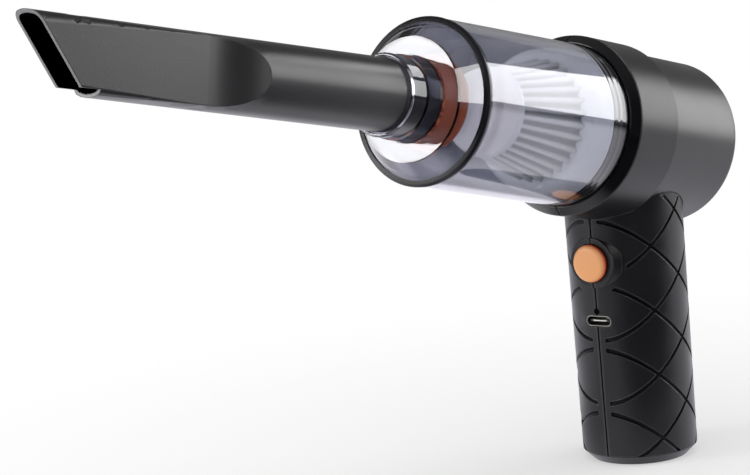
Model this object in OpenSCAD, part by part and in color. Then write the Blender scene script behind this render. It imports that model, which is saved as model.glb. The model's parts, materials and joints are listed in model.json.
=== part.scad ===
// Cordless handheld vacuum: lattice grip, raked barrel, smoked dust cup and crevice tool.
// Millimetres, +Z up. The grip stands on the XY plane at the origin and the nose points to -X.
// Distances "along the barrel" start where the barrel's axis crosses the grip's axis.

/* [Posture] */
// Height of the barrel's axis above the floor, at the grip's axis
barrel_height = 98.8; // [90:0.1:115]
// Nose-up rake of the barrel, in degrees
barrel_rake = 13; // [5:0.5:18]

/* [Grip] */
// Diameter where the grip meets the barrel
grip_top_d = 35.8; // [32:0.1:40]
// Diameter just above the foot
grip_bottom_d = 34.9; // [30:0.1:40]
// Wall of the two grip halves
grip_wall = 2.2; // [1.6:0.1:3]
// Height of the chamfered foot
foot_height = 3; // [2:0.1:6]
// Diameter of the flat that stands on the table
foot_flat_d = 28.8; // [24:0.2:34]

/* [Grip lattice] */
// Height step between neighbouring grooves
lattice_pitch = 19.5; // [15:0.1:25]
// Height of the top rising groove, at the front of the grip
lattice_rise_top = 58.2; // [50:0.1:65]
// Height of the top falling groove, at the front of the grip
lattice_fall_top = 94.4; // [85:0.1:100]
// Width of a groove
groove_width = 1; // [0.5:0.1:2]
// Depth of a groove
groove_depth = 0.7; // [0.3:0.1:1.2]
// Plain strip on each side of the front seam
seam_margin = 2.2; // [1:0.1:5]
// Plain circle round the button
button_margin_r = 9.8; // [8:0.1:14]

/* [Power button] */
// Diameter of the button
button_d = 11.4; // [8:0.1:14]
// Distance of the button's centre below the roof of the grip's hollow
button_down = 9.8; // [9:0.1:20]
// How far the button stands out of its boss
button_proud = 2.4; // [1.5:0.1:4]
// Travel of the button
button_travel = 1; // [0.5:0.1:1.5]
// Diameter of the round boss
boss_d = 15; // [13:0.1:18]
// How far the boss stands out of the grip
boss_proud = 0.6; // [0.2:0.1:2]

/* [Charging socket] */
// Distance of the socket's centre below the button's centre
socket_down = 17.9; // [15:0.1:25]
// Outer width of the socket's metal shell
socket_w = 8.94; // [8.9:0.01:9]
// Outer height of the socket's metal shell
socket_h = 3.26; // [3.1:0.01:3.4]
// Height of the charge light above the socket
light_above = 3; // [2.5:0.1:6]
// Diameter of the charge light
light_d = 1.2; // [0.8:0.1:2]

/* [Barrel] */
// Diameter of the front housing
housing_d = 53.2; // [50:0.1:60]
// Front edge of the housing, where the cup comes out, along the barrel
housing_front = 29.5; // [28:0.1:32]
// How far the housing's sloping front face runs back from that edge
bezel_back = 2.7; // [1:0.1:4]
// Seam between front housing and rear cap, along the barrel
seam_at = 7.5; // [6:0.1:9]
// Diameter of the rear cap
cap_d = 49.5; // [47:0.1:52]
// Rear end of the cap behind the grip's axis, along the barrel
cap_rear = 28.1; // [25:0.1:34]
// Wall of the rear cap
cap_wall = 1.8; // [1.2:0.1:2.5]
// Number of slots in the exhaust grille
grille_slots = 24; // [12:1:36]

/* [Dust cup] */
// Diameter of the cup behind its rim
cup_front_d = 46.3; // [42:0.1:50]
// Diameter of the cup at its open end
cup_rear_d = 47.8; // [42:0.1:50]
// Wall of the cup
cup_wall = 1.4; // [1.2:0.05:2.5]
// Front edge of the cup's side wall, along the barrel
cup_front = 93; // [80:0.5:120]
// Height of the nose cone
nose_height = 5.3; // [3:0.1:10]
// Width of the rim ring, from the cup's edge to the foot of the nose cone
rim_width = 1.6; // [1:0.1:3]
// Diameter of the flat face
face_d = 34.3; // [28:0.1:38]
// Diameter of the neck at its foot
neck_d = 24; // [23:0.1:27]
// Diameter of the neck's front step
neck_front_d = 22.7; // [22:0.1:26]
// Length of the neck in front of the face
neck_length = 11.6; // [8:0.1:16]
// Bore of the neck
neck_bore_d = 19.9; // [18:0.1:21]

/* [Crevice tool] */
// Length of the tool in front of the neck
tool_length = 124.2; // [80:0.5:180]
// Diameter at the neck
tool_base_d = 19.94; // [17:0.02:20]
// Diameter at the tip
tool_tip_d = 18.38; // [15:0.02:20]
// Wall of the tool
tool_wall = 0.9; // [0.7:0.1:2]
// Droop of the tool below the barrel's axis, in degrees
tool_droop = 1.42; // [0:0.02:4]
// Thickness across the flattened sides
tool_flat_w = 9; // [7:0.1:12]
// Length of the flattened sides, without their run-out
tool_flat_length = 55; // [30:0.5:90]
// Rounding between flats and round sides at the mouth, fading to none where the flats start
tool_corner_r = 2.6; // [2:0.1:3.4]
// Radius of the run-out of the flats
tool_runout_r = 30; // [15:1:60]
// Setback of the slanted tip from top to bottom
tip_setback = 14.5; // [5:0.5:25]
// Length of the air notch under the tip
notch_length = 5.7; // [2:0.1:12]
// Depth of the air notch
notch_depth = 1.8; // [1:0.1:3]

/* [Filter] */
// Number of pleats
pleats = 30; // [24:1:60]
// Rear diameter of the pleated cone
pleat_rear_d = 36.6; // [34:0.1:40]
// Front diameter of the pleated cone
pleat_front_d = 25; // [18:0.1:36]
// Length of the pleated cone
pleat_length = 22; // [10:0.5:30]
// Depth of a pleat
pleat_depth = 2.4; // [1:0.1:4]

/* [Fan and motor] */
// Number of impeller blades
blades = 9; // [7:1:13]
// Diameter of the impeller
impeller_d = 37.2; // [30:0.1:38]
// Diameter of the motor
motor_d = 27.7; // [24:0.1:28]
// Length of the motor's can
motor_length = 24; // [20:0.5:24.5]
// Diameter of the motor's shaft
shaft_d = 3.17; // [2:0.01:4]

/* [Battery] */
// Diameter of the cell
cell_d = 18.2; // [18:0.1:18.6]
// Free height between the cell and the roof of the grip's hollow
cell_headroom = 0.8; // [0.5:0.1:3]

/* [Hidden] */
$fn = 96;
run = 0.05;     // gap of a seated or running fit
slip = 0.1;     // gap of a sliding fit
skin = 0.3;     // gap between pieces that move past each other
grip_top_r = grip_top_d / 2;
grip_bottom_r = grip_bottom_d / 2;
cavity_r = grip_bottom_r - grip_wall;
cavity_top = barrel_height - 26.5;
button_height = cavity_top - button_down;
socket_height = button_height - socket_down;
housing_r = housing_d / 2;
cap_r = cap_d / 2;
liner_r = cap_r - cap_wall - run;
bay_r = liner_r - 1.4;
seat_rear = 15;                        // rear face of the cup seat's flange
seat_flange = 3;
seat_step = seat_rear + seat_flange;
seat_front = 35;                       // front end of the collar
skirt_end = seat_step + skin;
cup_rear_r = cup_rear_d / 2;
cup_front_r = cup_front_d / 2;
cup_rear_in = cup_rear_r - cup_wall - 0.05;
cup_front_in = cup_front_r - cup_wall;
nose_r = cup_front_r - rim_width;
nose_wall = cup_wall + 0.2;
collar_r = cup_rear_in - 0.45;
collar_in = collar_r - 2.6;
seal_groove = seat_step + 1.9;         // rear edge of the seal's groove
seal_groove_w = 1.5;
face_at = cup_front + 1.4 + nose_height;
neck_end = face_at + neck_length;
neck_step = face_at + neck_length * 0.46;
neck_r = neck_bore_d / 2;
inner_neck_r = neck_r + 1.1;
inner_neck_end = cup_front - 2.4;
spigot_stop = cup_front + 3;
spigot_r = neck_r - slip;
base_front = seat_front + 8.4;           // front face of the filter's base ring
cone_front = base_front + pleat_length;
spigot_filter_r = collar_in - slip;
catch_l = 10.5;
catch_w = 8.8;
catch_at = 28.4;
catch_travel = 0.5;
shroud_r = bay_r - run;
shroud_front = seat_rear;
plate_front = 4;
plate_back = 2.6;
wheel_back = plate_front + 2;
wheel_front = shroud_front - 2.2;
motor_r = motor_d / 2;
motor_front = plate_back;
motor_rear = motor_front - motor_length;
shaft_r = shaft_d / 2;
cap_inner_end = -cap_rear + 2.2;
can_wall = 1.2;
core_length = motor_length - 11;
cell_x = cavity_r - cell_d / 2 - 0.1;
cell_z = 6.5;
cell_length = cavity_top - cell_z - cell_headroom;
board_x = cell_x - cell_d / 2 - 4.3;
board_t = 1.2;
board_w = 22;
board_low = socket_height - 8.6;
board_high = button_height + 6.5;
boss_x = -(grip_top_r + boss_proud);
switch_x = board_x - 3.4;
plunger_x = switch_x - 1.4;
light_height = socket_height + light_above;
socket_x = -(grip_bottom_r - 0.4);
bezel_in = cup_rear_r + slip + 0.4;
grip_screws = [[-10.5, 12.5], [-10.5, 26.5]];
housing_screw_r = (housing_r + bay_r) / 2;
housing_screw_at = (seam_at + seat_rear) / 2;
tool_start = neck_end;
flat_start = tool_length - tool_flat_length;

// Local frame on the barrel: Z towards the nose, X up, Y to the right half
module on_barrel() translate([0, 0, barrel_height]) rotate([0, barrel_rake - 90, 0]) children();

// Tube between two stations
module tube(r_out, r_in, from, to) translate([0, 0, from]) difference() {
    cylinder(r = r_out, h = to - from);
    translate([0, 0, -1]) cylinder(r = r_in, h = to - from + 2);
}

// Turned part from [radius, station] corners
module turned(corners) rotate_extrude() polygon(corners);

// Cylinder along X, from x0 to x1, at height z
module bar_x(r, x0, x1, z) translate([x0, 0, z]) rotate([0, 90, 0]) cylinder(r = r, h = x1 - x0);

// Rounded slot outline, long side along X
module slot2d(w, h) {
    square([w - h, h], center = true);
    for (s = [-1, 1]) translate([s * (w - h) / 2, 0]) circle(d = h);
}

// Slot-shaped bar along X, wide in Y
module slot_x(w, h, x0, x1, z)
    translate([x0, 0, z]) rotate([90, 0, 90]) linear_extrude(x1 - x0) slot2d(w, h);

// ---- Grip and housing ----

module grip_cone(grow, from, to) {
    slope = (grip_top_r - grip_bottom_r) / (80 - foot_height);
    translate([0, 0, from]) cylinder(r1 = grip_bottom_r + (from - foot_height) * slope + grow,
        r2 = grip_bottom_r + (to - foot_height) * slope + grow, h = to - from);
}

module groove_slabs() for (k = [0:4], s = [-1, 1]) {
    height = (s > 0 ? lattice_rise_top : lattice_fall_top) - k * lattice_pitch;
    translate([-17.5, 0, height]) rotate([0, -45 * s, 0])
        translate([-6, -25, -groove_width / 2]) cube([62, 50, groove_width]);
}

module lattice() intersection() {
    groove_slabs();
    difference() {
        grip_cone(1, foot_height - 0.5, barrel_height);
        grip_cone(-groove_depth, foot_height - 1, barrel_height + 1);
        translate([-30, -seam_margin, 0]) cube([30, 2 * seam_margin, 120]);
        bar_x(button_margin_r, -30, 0, button_height);
        on_barrel() translate([0, 0, seam_at]) cylinder(r = housing_r + 0.4, h = 40);
        on_barrel() translate([0, 0, -40]) cylinder(r = cap_r + 0.2, h = 50);
    }
}

// Rounded-over groove where the two halves meet: a narrow slit with a shallow flare
module seam_cut(length) rotate([0, 0, 0]) linear_extrude(length)
    polygon([[-0.5, -0.1], [-0.5, 0.1], [-0.14, 0.14], [-0.04, 0.3], [0.2, 0.75], [0.2, -0.75],
        [-0.04, -0.3], [-0.14, -0.14]]);

module seam_line() {
    slope = atan(bezel_back / (housing_r - bezel_in));
    lean = atan((grip_top_r - grip_bottom_r) / (80 - foot_height));
    for (s = [0, 180]) rotate(s) translate([grip_bottom_r, 0, foot_height]) rotate([0, lean, 0])
        translate([0, 0, -2]) seam_cut(84);
    on_barrel() for (s = [0, 180]) rotate(s) {
        translate([housing_r, 0, seam_at - 1]) seam_cut(housing_front - bezel_back - seam_at + 2);
        translate([bezel_in, 0, housing_front]) rotate([0, 90 + slope, 0]) rotate(180)
            translate([0, 0, -1]) seam_cut((housing_r - bezel_in) / cos(slope) + 2);
    }
}

module body_outside() {
    on_barrel() {
        turned([[0, seam_at], [housing_r - 0.3, seam_at], [housing_r, seam_at + 0.3],
            [housing_r, housing_front - bezel_back - 0.35],
            [housing_r - 0.12, housing_front - bezel_back + 0.02],
            [bezel_in + 0.1, housing_front - 0.12], [bezel_in - 0.1, housing_front], [0, housing_front]]);
        translate([0, 0, cap_inner_end + 6]) cylinder(r = liner_r, h = 30);
    }
    grip_cone(0, foot_height, barrel_height);
    bar_x(boss_d / 2, boss_x, -12, button_height);
    translate([boss_x + 0.7, 0, button_height]) rotate([0, 90, 0])
        cylinder(r1 = boss_d / 2, r2 = boss_d / 2 + 1.6, h = 2.2);
}

module body_inside() {
    on_barrel() {
        translate([0, 0, -40]) cylinder(r = bay_r, h = 40 + seat_rear);
        translate([0, 0, seat_rear]) cylinder(r = seat_flange_r() + run, h = seat_flange);
        translate([0, 0, seat_step]) cylinder(r = cup_rear_r + slip, h = 20);
    }
    difference() {
        translate([0, 0, 1]) cylinder(r = cavity_r, h = cavity_top - 1);
        ribs();
        screw_bosses();
    }
    translate([3, 0, cavity_top - 2]) cylinder(r = 4, h = 12);
}

// Cradles for the cell and the board
module ribs() for (f = [0.18, 0.48, 0.75]) let (z = cell_z + f * cell_length) difference() {
    translate([-16, -16, z]) cube([32, 32, 1.6]);
    translate([cell_x, 0, z - 1]) cylinder(r = cell_d / 2 + run, h = 4);
    translate([board_x - run, -board_w / 2 - run, z - 1]) cube([board_t + 2 * run, board_w + 2 * run, 4]);
    translate([-16, -7.5, z - 1]) cube([16 + board_x + 0.01, 15, 4]);
}

module screw_bosses() for (p = grip_screws)
    translate([p[0], 0, p[1]]) rotate([90, 0, 0]) cylinder(r = 2.7, h = 40, center = true);

module on_screws() {
    for (p = grip_screws) translate([p[0], 0, p[1]]) rotate([-90, 0, 0]) children();
    for (s = [-1, 1]) on_barrel() translate([s * housing_screw_r, 0, housing_screw_at])
        rotate([-90, 0, 0]) children();
}

module screw_holes() on_screws() {
    translate([0, 0, -5]) cylinder(r = 1.02, h = 20);
    translate([0, 0, 7]) cylinder(r = 2.05, h = 20);
}

module front_holes() {
    bar_x(button_d / 2 + 0.15, -30, -12, button_height);
    slot_x(socket_w + 2 * slip, socket_h + 2 * slip, -30, -12, socket_height);
    bar_x(light_d / 2 + run, -30, -12, light_height);
}

module body_half(side) difference() {
    intersection() {
        body_outside();
        translate([-100, side > 0 ? 0 : -100, foot_height]) cube([200, 100, 200]);
    }
    body_inside();
    screw_holes();
    front_holes();
    lattice();
    seam_line();
}

module body_left() color([0.16, 0.16, 0.17]) body_half(-1);
module body_right() color([0.16, 0.16, 0.17]) body_half(1);

module case_screws() color([0.6, 0.6, 0.62]) on_screws() difference() {
    union() {
        translate([0, 0, -4.5]) cylinder(r = 1, h = 11.6);
        translate([0, 0, 7]) cylinder(r = 1.9, h = 1.5);
    }
    for (a = [0, 90]) rotate(a) translate([-1.1, -0.25, 7.7]) cube([2.2, 0.5, 2]);
}

module base_cap() color([0.14, 0.14, 0.15]) {
    cylinder(r1 = foot_flat_d / 2, r2 = grip_bottom_r - 0.02, h = foot_height);
    translate([0, 0, foot_height]) cylinder(r = cavity_r - run, h = cell_z - 0.2 - foot_height);
}

module rear_cap() color([0.3, 0.3, 0.31]) difference() {
    on_barrel() difference() {
        turned([[0, -cap_rear], [cap_r - 1.6, -cap_rear], [cap_r - 0.8, -cap_rear + 0.25],
            [cap_r - 0.25, -cap_rear + 0.8], [cap_r, -cap_rear + 1.6], [cap_r, seam_at - 0.25],
            [cap_r - 0.25, seam_at], [liner_r + run, seam_at], [liner_r + run, cap_inner_end],
            [0, cap_inner_end]]);
        for (k = [0:grille_slots - 1]) rotate(k * 360 / grille_slots)
            translate([9, -0.9, -cap_rear - 1]) cube([11.5, 1.8, 4]);
        translate([0, 0, -cap_rear - 1]) tube(7.6, 7, 0, 1.4);
    }
    grip_cone(slip, 0, barrel_height - 8);
}

// ---- Button, switch, board and socket ----

module power_button() color([0.9, 0.5, 0.2]) {
    face = boss_x - button_proud;
    flange_x = plunger_x - 0.9;
    difference() {
        union() {
            bar_x(button_d / 2, face + 0.8, flange_x + 0.4, button_height);
            translate([face, 0, button_height]) rotate([0, 90, 0])
                cylinder(r1 = button_d / 2 - 0.8, r2 = button_d / 2, h = 0.8);
            bar_x(button_d / 2 + 1.1, flange_x, plunger_x, button_height);
        }
        translate([0, 0, 0]) difference() {
            bar_x(button_d / 2 - 1.2, face + 1.6, plunger_x + 1, button_height);
            bar_x(2, face + 1, plunger_x, button_height);
        }
    }
}

module switch_plunger() color([0.15, 0.15, 0.15]) bar_x(1.7, plunger_x, switch_x + 0.3, button_height);

module switch_body() color([0.55, 0.55, 0.57]) difference() {
    translate([switch_x, -3, button_height - 3]) cube([board_x - switch_x, 6, 6]);
    bar_x(1.7 + run, switch_x - 1, switch_x + 1.5, button_height);
}

module charge_light() color([0.1, 0.1, 0.1])
    bar_x(light_d / 2, -grip_bottom_r - 0.1, board_x, light_height);

module usb_shell() color([0.75, 0.75, 0.77]) difference() {
    slot_x(socket_w, socket_h, socket_x, board_x, socket_height);
    slot_x(socket_w - 0.6, socket_h - 0.6, -20, board_x + 1, socket_height);
}

module usb_tongue() color([0.08, 0.08, 0.08]) {
    slot_x(socket_w - 0.62, socket_h - 0.62, board_x - 2.6, board_x, socket_height);
    translate([socket_x + 0.7, -3.35, socket_height - 0.35]) cube([board_x - 3.2 - socket_x, 6.7, 0.7]);
}

module circuit_board() color([0.1, 0.35, 0.2])
    translate([board_x, -board_w / 2, board_low]) cube([board_t, board_w, board_high - board_low]);

// ---- Battery ----

module battery_cell() color([0.2, 0.45, 0.65]) {
    translate([cell_x, 0, cell_z]) cylinder(d = cell_d, h = cell_length - 0.8);
    translate([cell_x, 0, cell_z]) cylinder(d = 6, h = cell_length);
}

module battery_tabs() color([0.75, 0.74, 0.7]) {
    translate([cell_x - cell_d * 0.44, -cell_d * 0.14, cell_z - 0.2]) cube([cell_d * 0.77, cell_d * 0.28, 0.2]);
    translate([cell_x - cell_d * 0.44, -cell_d * 0.14, cell_z + cell_length]) cube([cell_d * 0.66, cell_d * 0.28, 0.2]);
}

// ---- Cup seat, seal and catch ----

function seat_flange_r() = cup_rear_r + 0.7;

module cup_seat() color([0.08, 0.08, 0.08]) on_barrel() difference() {
    turned([[collar_in, seat_rear], [seat_flange_r(), seat_rear], [seat_flange_r(), seat_step],
        [collar_r, seat_step], [collar_r, seal_groove], [collar_r - 0.85, seal_groove],
        [collar_r - 0.85, seal_groove + seal_groove_w], [collar_r, seal_groove + seal_groove_w],
        [collar_r, seat_front - 0.5], [collar_r - 0.5, seat_front],
        [collar_in + 0.3, seat_front], [collar_in, seat_front - 0.3]]);
    catch_shape(0.15, collar_r - 1.9, collar_r + 2);
}

// Oval column standing down from the barrel's axis
module catch_shape(grow, r0, r1) translate([-r0, 0, catch_at]) rotate([0, -90, 0])
    linear_extrude(r1 - r0) slot2d(catch_l + 2 * grow, catch_w + 2 * grow);

module cup_catch() color([0.85, 0.35, 0.15]) on_barrel() intersection() {
    catch_shape(0, collar_r - 1.35, collar_r + 1);
    cylinder(r = collar_r + 0.15, h = seat_front + 20);
}

module cup_seal() color([0.05, 0.05, 0.05]) on_barrel() translate([0, 0, seal_groove + seal_groove_w / 2])
    rotate_extrude() translate([cup_rear_in - 0.67, 0]) circle(r = 0.62);

// ---- Dust cup ----

module dust_cup() color([0.55, 0.6, 0.7, 0.35]) on_barrel() turned([
    [cup_rear_in, skirt_end], [cup_rear_r, skirt_end], [cup_rear_r, housing_front],
    [cup_front_r, cup_front], [nose_r, cup_front], [nose_r, cup_front + 1.4],
    [face_d / 2, face_at], [neck_d / 2, face_at], [neck_d / 2 - 0.2, face_at + 0.8],
    [neck_d / 2 - 0.35, neck_step], [neck_front_d / 2 - 0.2, neck_step + 0.5],
    [neck_front_d / 2, neck_end - 0.6], [neck_front_d / 2 - 0.5, neck_end],
    [neck_r + 0.7, neck_end], [neck_r, neck_end - 1.2], [neck_r, spigot_stop],
    [neck_r - 0.95, spigot_stop], [neck_r - 0.95, inner_neck_end], [inner_neck_r, inner_neck_end],
    [inner_neck_r, face_at - nose_wall], [face_d / 2 - 0.6, face_at - nose_wall],
    [nose_r - 1.3, cup_front + 0.2], [cup_front_in, cup_front - 1.5]]);

module rim_ring() color([0.02, 0.02, 0.02]) on_barrel() turned([
    [nose_r, cup_front], [cup_front_r + 0.1, cup_front], [cup_front_r + 0.15, cup_front + 0.7],
    [cup_front_r - 0.5, cup_front + 1.25], [nose_r, cup_front + 1.4]]);

module inlet_sleeve() color([0.85, 0.42, 0.2]) on_barrel() turned([
    [inner_neck_r, face_at - nose_wall], [inner_neck_r + 1.1, face_at - nose_wall],
    [inner_neck_r + 1.1, inner_neck_end + 0.7], [inner_neck_r + 2.2, inner_neck_end + 0.4],
    [inner_neck_r + 2.2, inner_neck_end - 0.6], [neck_r - 0.4, inner_neck_end - 0.6],
    [neck_r - 0.4, inner_neck_end], [inner_neck_r, inner_neck_end]]);

module inlet_flap() color([0.88, 0.46, 0.22]) on_barrel() {
    back = inner_neck_end - 0.6 - 0.2;
    translate([0, 0, back - 1]) intersection() {
        cylinder(r = neck_r + 1.2, h = 1);
        translate([-30, -30, -1]) cube([30 + neck_r + 0.9, 60, 4]);
    }
    translate([neck_r + 0.9, 0, back - 0.5]) rotate([90, 0, 0]) cylinder(r = 0.5, h = 8, center = true);
}

// ---- Filter ----

function star(r, depth) = [for (k = [0:2 * pleats - 1]) let (q = r - (k % 2) * depth)
    [q * cos(k * 180 / pleats), q * sin(k * 180 / pleats)]];

module filter_media() color([0.95, 0.95, 0.93]) on_barrel() translate([0, 0, base_front])
    linear_extrude(height = pleat_length, scale = pleat_front_d / pleat_rear_d) difference() {
        polygon(star(pleat_rear_d / 2, pleat_depth));
        polygon(star(pleat_rear_d / 2 - 0.9, pleat_depth));
    }

module filter_cap() color([0.95, 0.95, 0.95]) on_barrel() turned([
    [0, cone_front], [pleat_front_d / 2 + 0.4, cone_front], [pleat_front_d / 2 + 0.4, cone_front + 0.8],
    [pleat_front_d / 2 - 0.4, cone_front + 1.6], [0, cone_front + 2]]);

module filter_base() color([0.85, 0.87, 0.88]) on_barrel() {
    bore = spigot_filter_r - 1.9;
    ring = pleat_rear_d / 2 - pleat_depth - 1.3;
    turned([[bore, seat_front - 5], [spigot_filter_r - 0.3, seat_front - 5],
        [spigot_filter_r, seat_front - 4.7], [spigot_filter_r, seat_front - 3.2],
        [spigot_filter_r - 0.86, seat_front - 3.2], [spigot_filter_r - 0.86, seat_front - 2.2],
        [spigot_filter_r, seat_front - 2.2], [spigot_filter_r, seat_front],
        [collar_r - 0.3, seat_front], [collar_r, seat_front + 0.3], [collar_r, base_front - 2.4],
        [collar_r - 0.25, base_front - 1.5], [collar_r - 0.85, base_front - 0.6], [collar_r - 1.7, base_front],
        [ring, base_front], [ring, base_front - 1.6], [collar_r - 2.2, base_front - 1.6],
        [collar_r - 2.2, seat_front + 1.6], [bore, seat_front + 1.6]]);
}

module filter_seal() color([0.1, 0.1, 0.1]) on_barrel() translate([0, 0, seat_front - 2.7])
    rotate_extrude() translate([collar_in - run - 0.45, 0]) circle(r = 0.45);

// ---- Crevice tool ----

// Side cutter of the flats, drawn as [station, sideways]
module flat_cutter(half, radius) for (s = [0, 1]) mirror([0, s, 0])
    rotate([90, 0, 90]) translate([0, 0, -30]) linear_extrude(60) {
        translate([half, flat_start]) square([30, tool_length]);
        intersection() {
            translate([half + radius, flat_start]) circle(r = radius);
            translate([half, 0]) square([8, tool_length]);
        }
    }

// Rounding of the four edges beside the flats: corner wedges outside slender cones that widen to the mouth
module corner_cutter(half, start_r, tip_r, corner) {
    from = [sqrt(start_r * start_r - half * half), half];
    to = [sqrt(pow(tip_r - corner, 2) - pow(half - corner, 2)), half - corner];
    long = tool_length - flat_start;
    reach = 1.04 * sqrt(long * long + pow(to[0] - from[0], 2) + pow(to[1] - from[1], 2));
    away = atan2(to[1], to[0]);
    for (sx = [0, 1], sy = [0, 1]) mirror([sx, 0, 0]) mirror([0, sy, 0])
        translate([from[0], from[1], flat_start])
            rotate([asin((from[1] - to[1]) / reach * 1.04), atan2(to[0] - from[0], long), 0]) difference() {
                linear_extrude(reach) polygon([[0, 0], [9 * cos(away), 9 * sin(away)], [9, 9], [0, 9]]);
                translate([0, 0, -0.01]) cylinder(r1 = 0.01, r2 = corner * 1.04, h = reach + 0.02);
            }
}

// Tapered tool body, or its hollow when `inset` is the wall
module tool_form(inset, from, to) {
    base_r = tool_base_d / 2 - inset;
    tip_r = tool_tip_d / 2 - inset;
    half = tool_flat_w / 2 - inset;
    difference() {
        translate([0, 0, from]) cylinder(r1 = base_r, r2 = tip_r, h = to - from);
        flat_cutter(half, tool_runout_r + inset);
        corner_cutter(half, base_r + (tip_r - base_r) * flat_start / tool_length, tip_r, tool_corner_r - inset);
    }
}

module crevice_tool() color([0.2, 0.2, 0.21]) on_barrel() difference() {
    union() {
        translate([0, 0, spigot_stop]) cylinder(r = spigot_r, h = tool_start - spigot_stop);
        translate([0, 0, tool_start]) rotate([0, -tool_droop, 0]) tool_form(0, -0.3, tool_length);
    }
    translate([0, 0, spigot_stop - 1]) cylinder(r = spigot_r - tool_wall, h = tool_start - spigot_stop + 1.2);
    translate([0, 0, tool_start]) rotate([0, -tool_droop, 0]) {
        tool_form(tool_wall, 0, tool_length + 1);
        tip_cut();
    }
}

// Slanted mouth with the air notch below it, cut across the tool
module tip_cut() {
    low = tool_tip_d / 2 - notch_depth;
    rotate([90, 0, 0]) translate([0, 0, -30]) linear_extrude(60) polygon([
        [tool_tip_d / 2 + 0.01, tool_length], [-low, tool_length - tip_setback],
        [-low, tool_length - tip_setback - notch_length], [-30, tool_length - tip_setback - notch_length],
        [-30, tool_length + 30], [tool_tip_d / 2 + 0.01, tool_length + 30]]);
}

// ---- Fan and motor ----

module fan_shroud() color([0.12, 0.12, 0.12]) on_barrel() turned([
    [9, shroud_front - 2.4], [9.6, shroud_front - 2.4], [9.6, shroud_front - 1.5],
    [shroud_r - 1.4, shroud_front - 1.5], [shroud_r - 1.4, plate_front], [shroud_r, plate_front],
    [shroud_r, shroud_front], [9, shroud_front]]);

module blade2d() intersection() {
    difference() { circle(r = impeller_d / 2 - 0.3); circle(r = 6.5); }
    translate([11, 0]) difference() { circle(r = 11.95); circle(r = 11.05); }
    translate([-25, 0]) square([50, 25]);
}

module impeller() color([0.85, 0.85, 0.83]) on_barrel() difference() {
    union() {
        translate([0, 0, wheel_back]) cylinder(r = impeller_d / 2, h = 1.2);
        translate([0, 0, wheel_back]) cylinder(r1 = 5.6, r2 = 3.4, h = wheel_front - wheel_back);
        for (k = [0:blades - 1]) rotate(k * 360 / blades) translate([0, 0, wheel_back + 1])
            linear_extrude(wheel_front - wheel_back - 1.8) blade2d();
    }
    translate([0, 0, 0]) cylinder(r = shaft_r + 0.01, h = 30);
}

module diffuser() color([0.12, 0.12, 0.12]) on_barrel() {
    difference() {
        translate([0, 0, plate_back]) cylinder(r = shroud_r, h = plate_front - plate_back);
        translate([0, 0, 0]) cylinder(r = 4.2, h = 10);
        for (k = [0:11]) rotate(k * 30) translate([motor_r + 0.9, -2.6, 0]) cube([5, 5.2, 10]);
        for (s = [-1, 1]) translate([s * 8, 0, 0]) cylinder(r = 1.35, h = 10);
    }
    for (k = [0:11]) rotate(k * 30 + 15) translate([motor_r + slip, -0.5, plate_back - 5])
        cube([shroud_r - motor_r - 2 * slip, 1, 5]);
}

module motor_can() color([0.7, 0.7, 0.72]) on_barrel() difference() {
    union() {
        translate([0, 0, motor_rear]) cylinder(r = motor_r, h = motor_length);
        translate([0, 0, motor_front - 1]) cylinder(r = 4.1, h = 2.3);
    }
    translate([0, 0, motor_rear - 1]) cylinder(r = motor_r - can_wall, h = motor_length);
    translate([0, 0, motor_front - 3]) cylinder(r = 3, h = 8);
    for (s = [-1, 1]) translate([s * 8, 0, motor_front - 3]) cylinder(r = 1.02, h = 6);
}

module motor_magnets() color([0.25, 0.25, 0.26]) on_barrel() for (s = [0, 180]) rotate(s)
    translate([0, 0, motor_rear + 2.5]) intersection() {
        tube(motor_r - can_wall - 0.01, motor_r - can_wall - 1.9, 0, motor_length - 4.5);
        rotate(-60) translate([-30, 0, -1]) cube([60, 30, 40]);
        rotate(60) translate([-30, -30, -1]) cube([60, 30, 40]);
    }

module motor_end_cap() color([0.1, 0.1, 0.1]) on_barrel() difference() {
    turned([[3, motor_rear - 1.6], [5.5, motor_rear - 1.6], [5.5, motor_rear - 1],
        [motor_r - 0.4, motor_rear - 1], [motor_r - 0.4, motor_rear],
        [motor_r - can_wall - 0.02, motor_rear], [motor_r - can_wall - 0.02, motor_rear + 1.6],
        [3, motor_rear + 1.6]]);
    for (s = [-1, 1]) translate([s * 9, 0, motor_rear - 3]) cylinder(r = 1.5, h = 6);
}

module motor_bushings() color([0.7, 0.55, 0.3]) on_barrel() {
    tube(2.98, shaft_r + 0.03, motor_rear - 1.4, motor_rear + 1.6);
    tube(2.98, shaft_r + 0.03, motor_front - 1, motor_front + 1.2);
}

module motor_shaft() color([0.8, 0.8, 0.82]) on_barrel()
    translate([0, 0, motor_rear - 1.3]) cylinder(r = shaft_r, h = wheel_front - 0.4 - motor_rear + 1.3);

module rotor_core() color([0.45, 0.45, 0.47]) on_barrel()
    translate([0, 0, motor_rear + 6]) linear_extrude(core_length) difference() {
        circle(r = motor_r - can_wall - 2.4);
        circle(r = shaft_r + 0.01);
        for (k = [0:4]) rotate(k * 72) {
            translate([7, 0]) circle(r = 1.9);
            translate([7, -0.5]) square([6, 1]);
        }
    }

module rotor_winding() color([0.75, 0.4, 0.2]) on_barrel() {
    tube(8.4, 3.4, motor_rear + 4.6, motor_rear + 6);
    tube(8.4, 3.4, motor_rear + 6 + core_length, motor_rear + 7.6 + core_length);
}

module commutator() color([0.75, 0.45, 0.25]) on_barrel()
    tube(3, shaft_r + 0.01, motor_rear + 2, motor_rear + 5);

module motor_screws() color([0.6, 0.6, 0.62]) on_barrel() for (s = [-1, 1])
    translate([s * 8, 0, 0]) {
        translate([0, 0, motor_front - 1.6]) cylinder(r = 1, h = plate_front - motor_front + 1.7);
        translate([0, 0, plate_front]) cylinder(r = 2, h = 1.1);
    }

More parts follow.
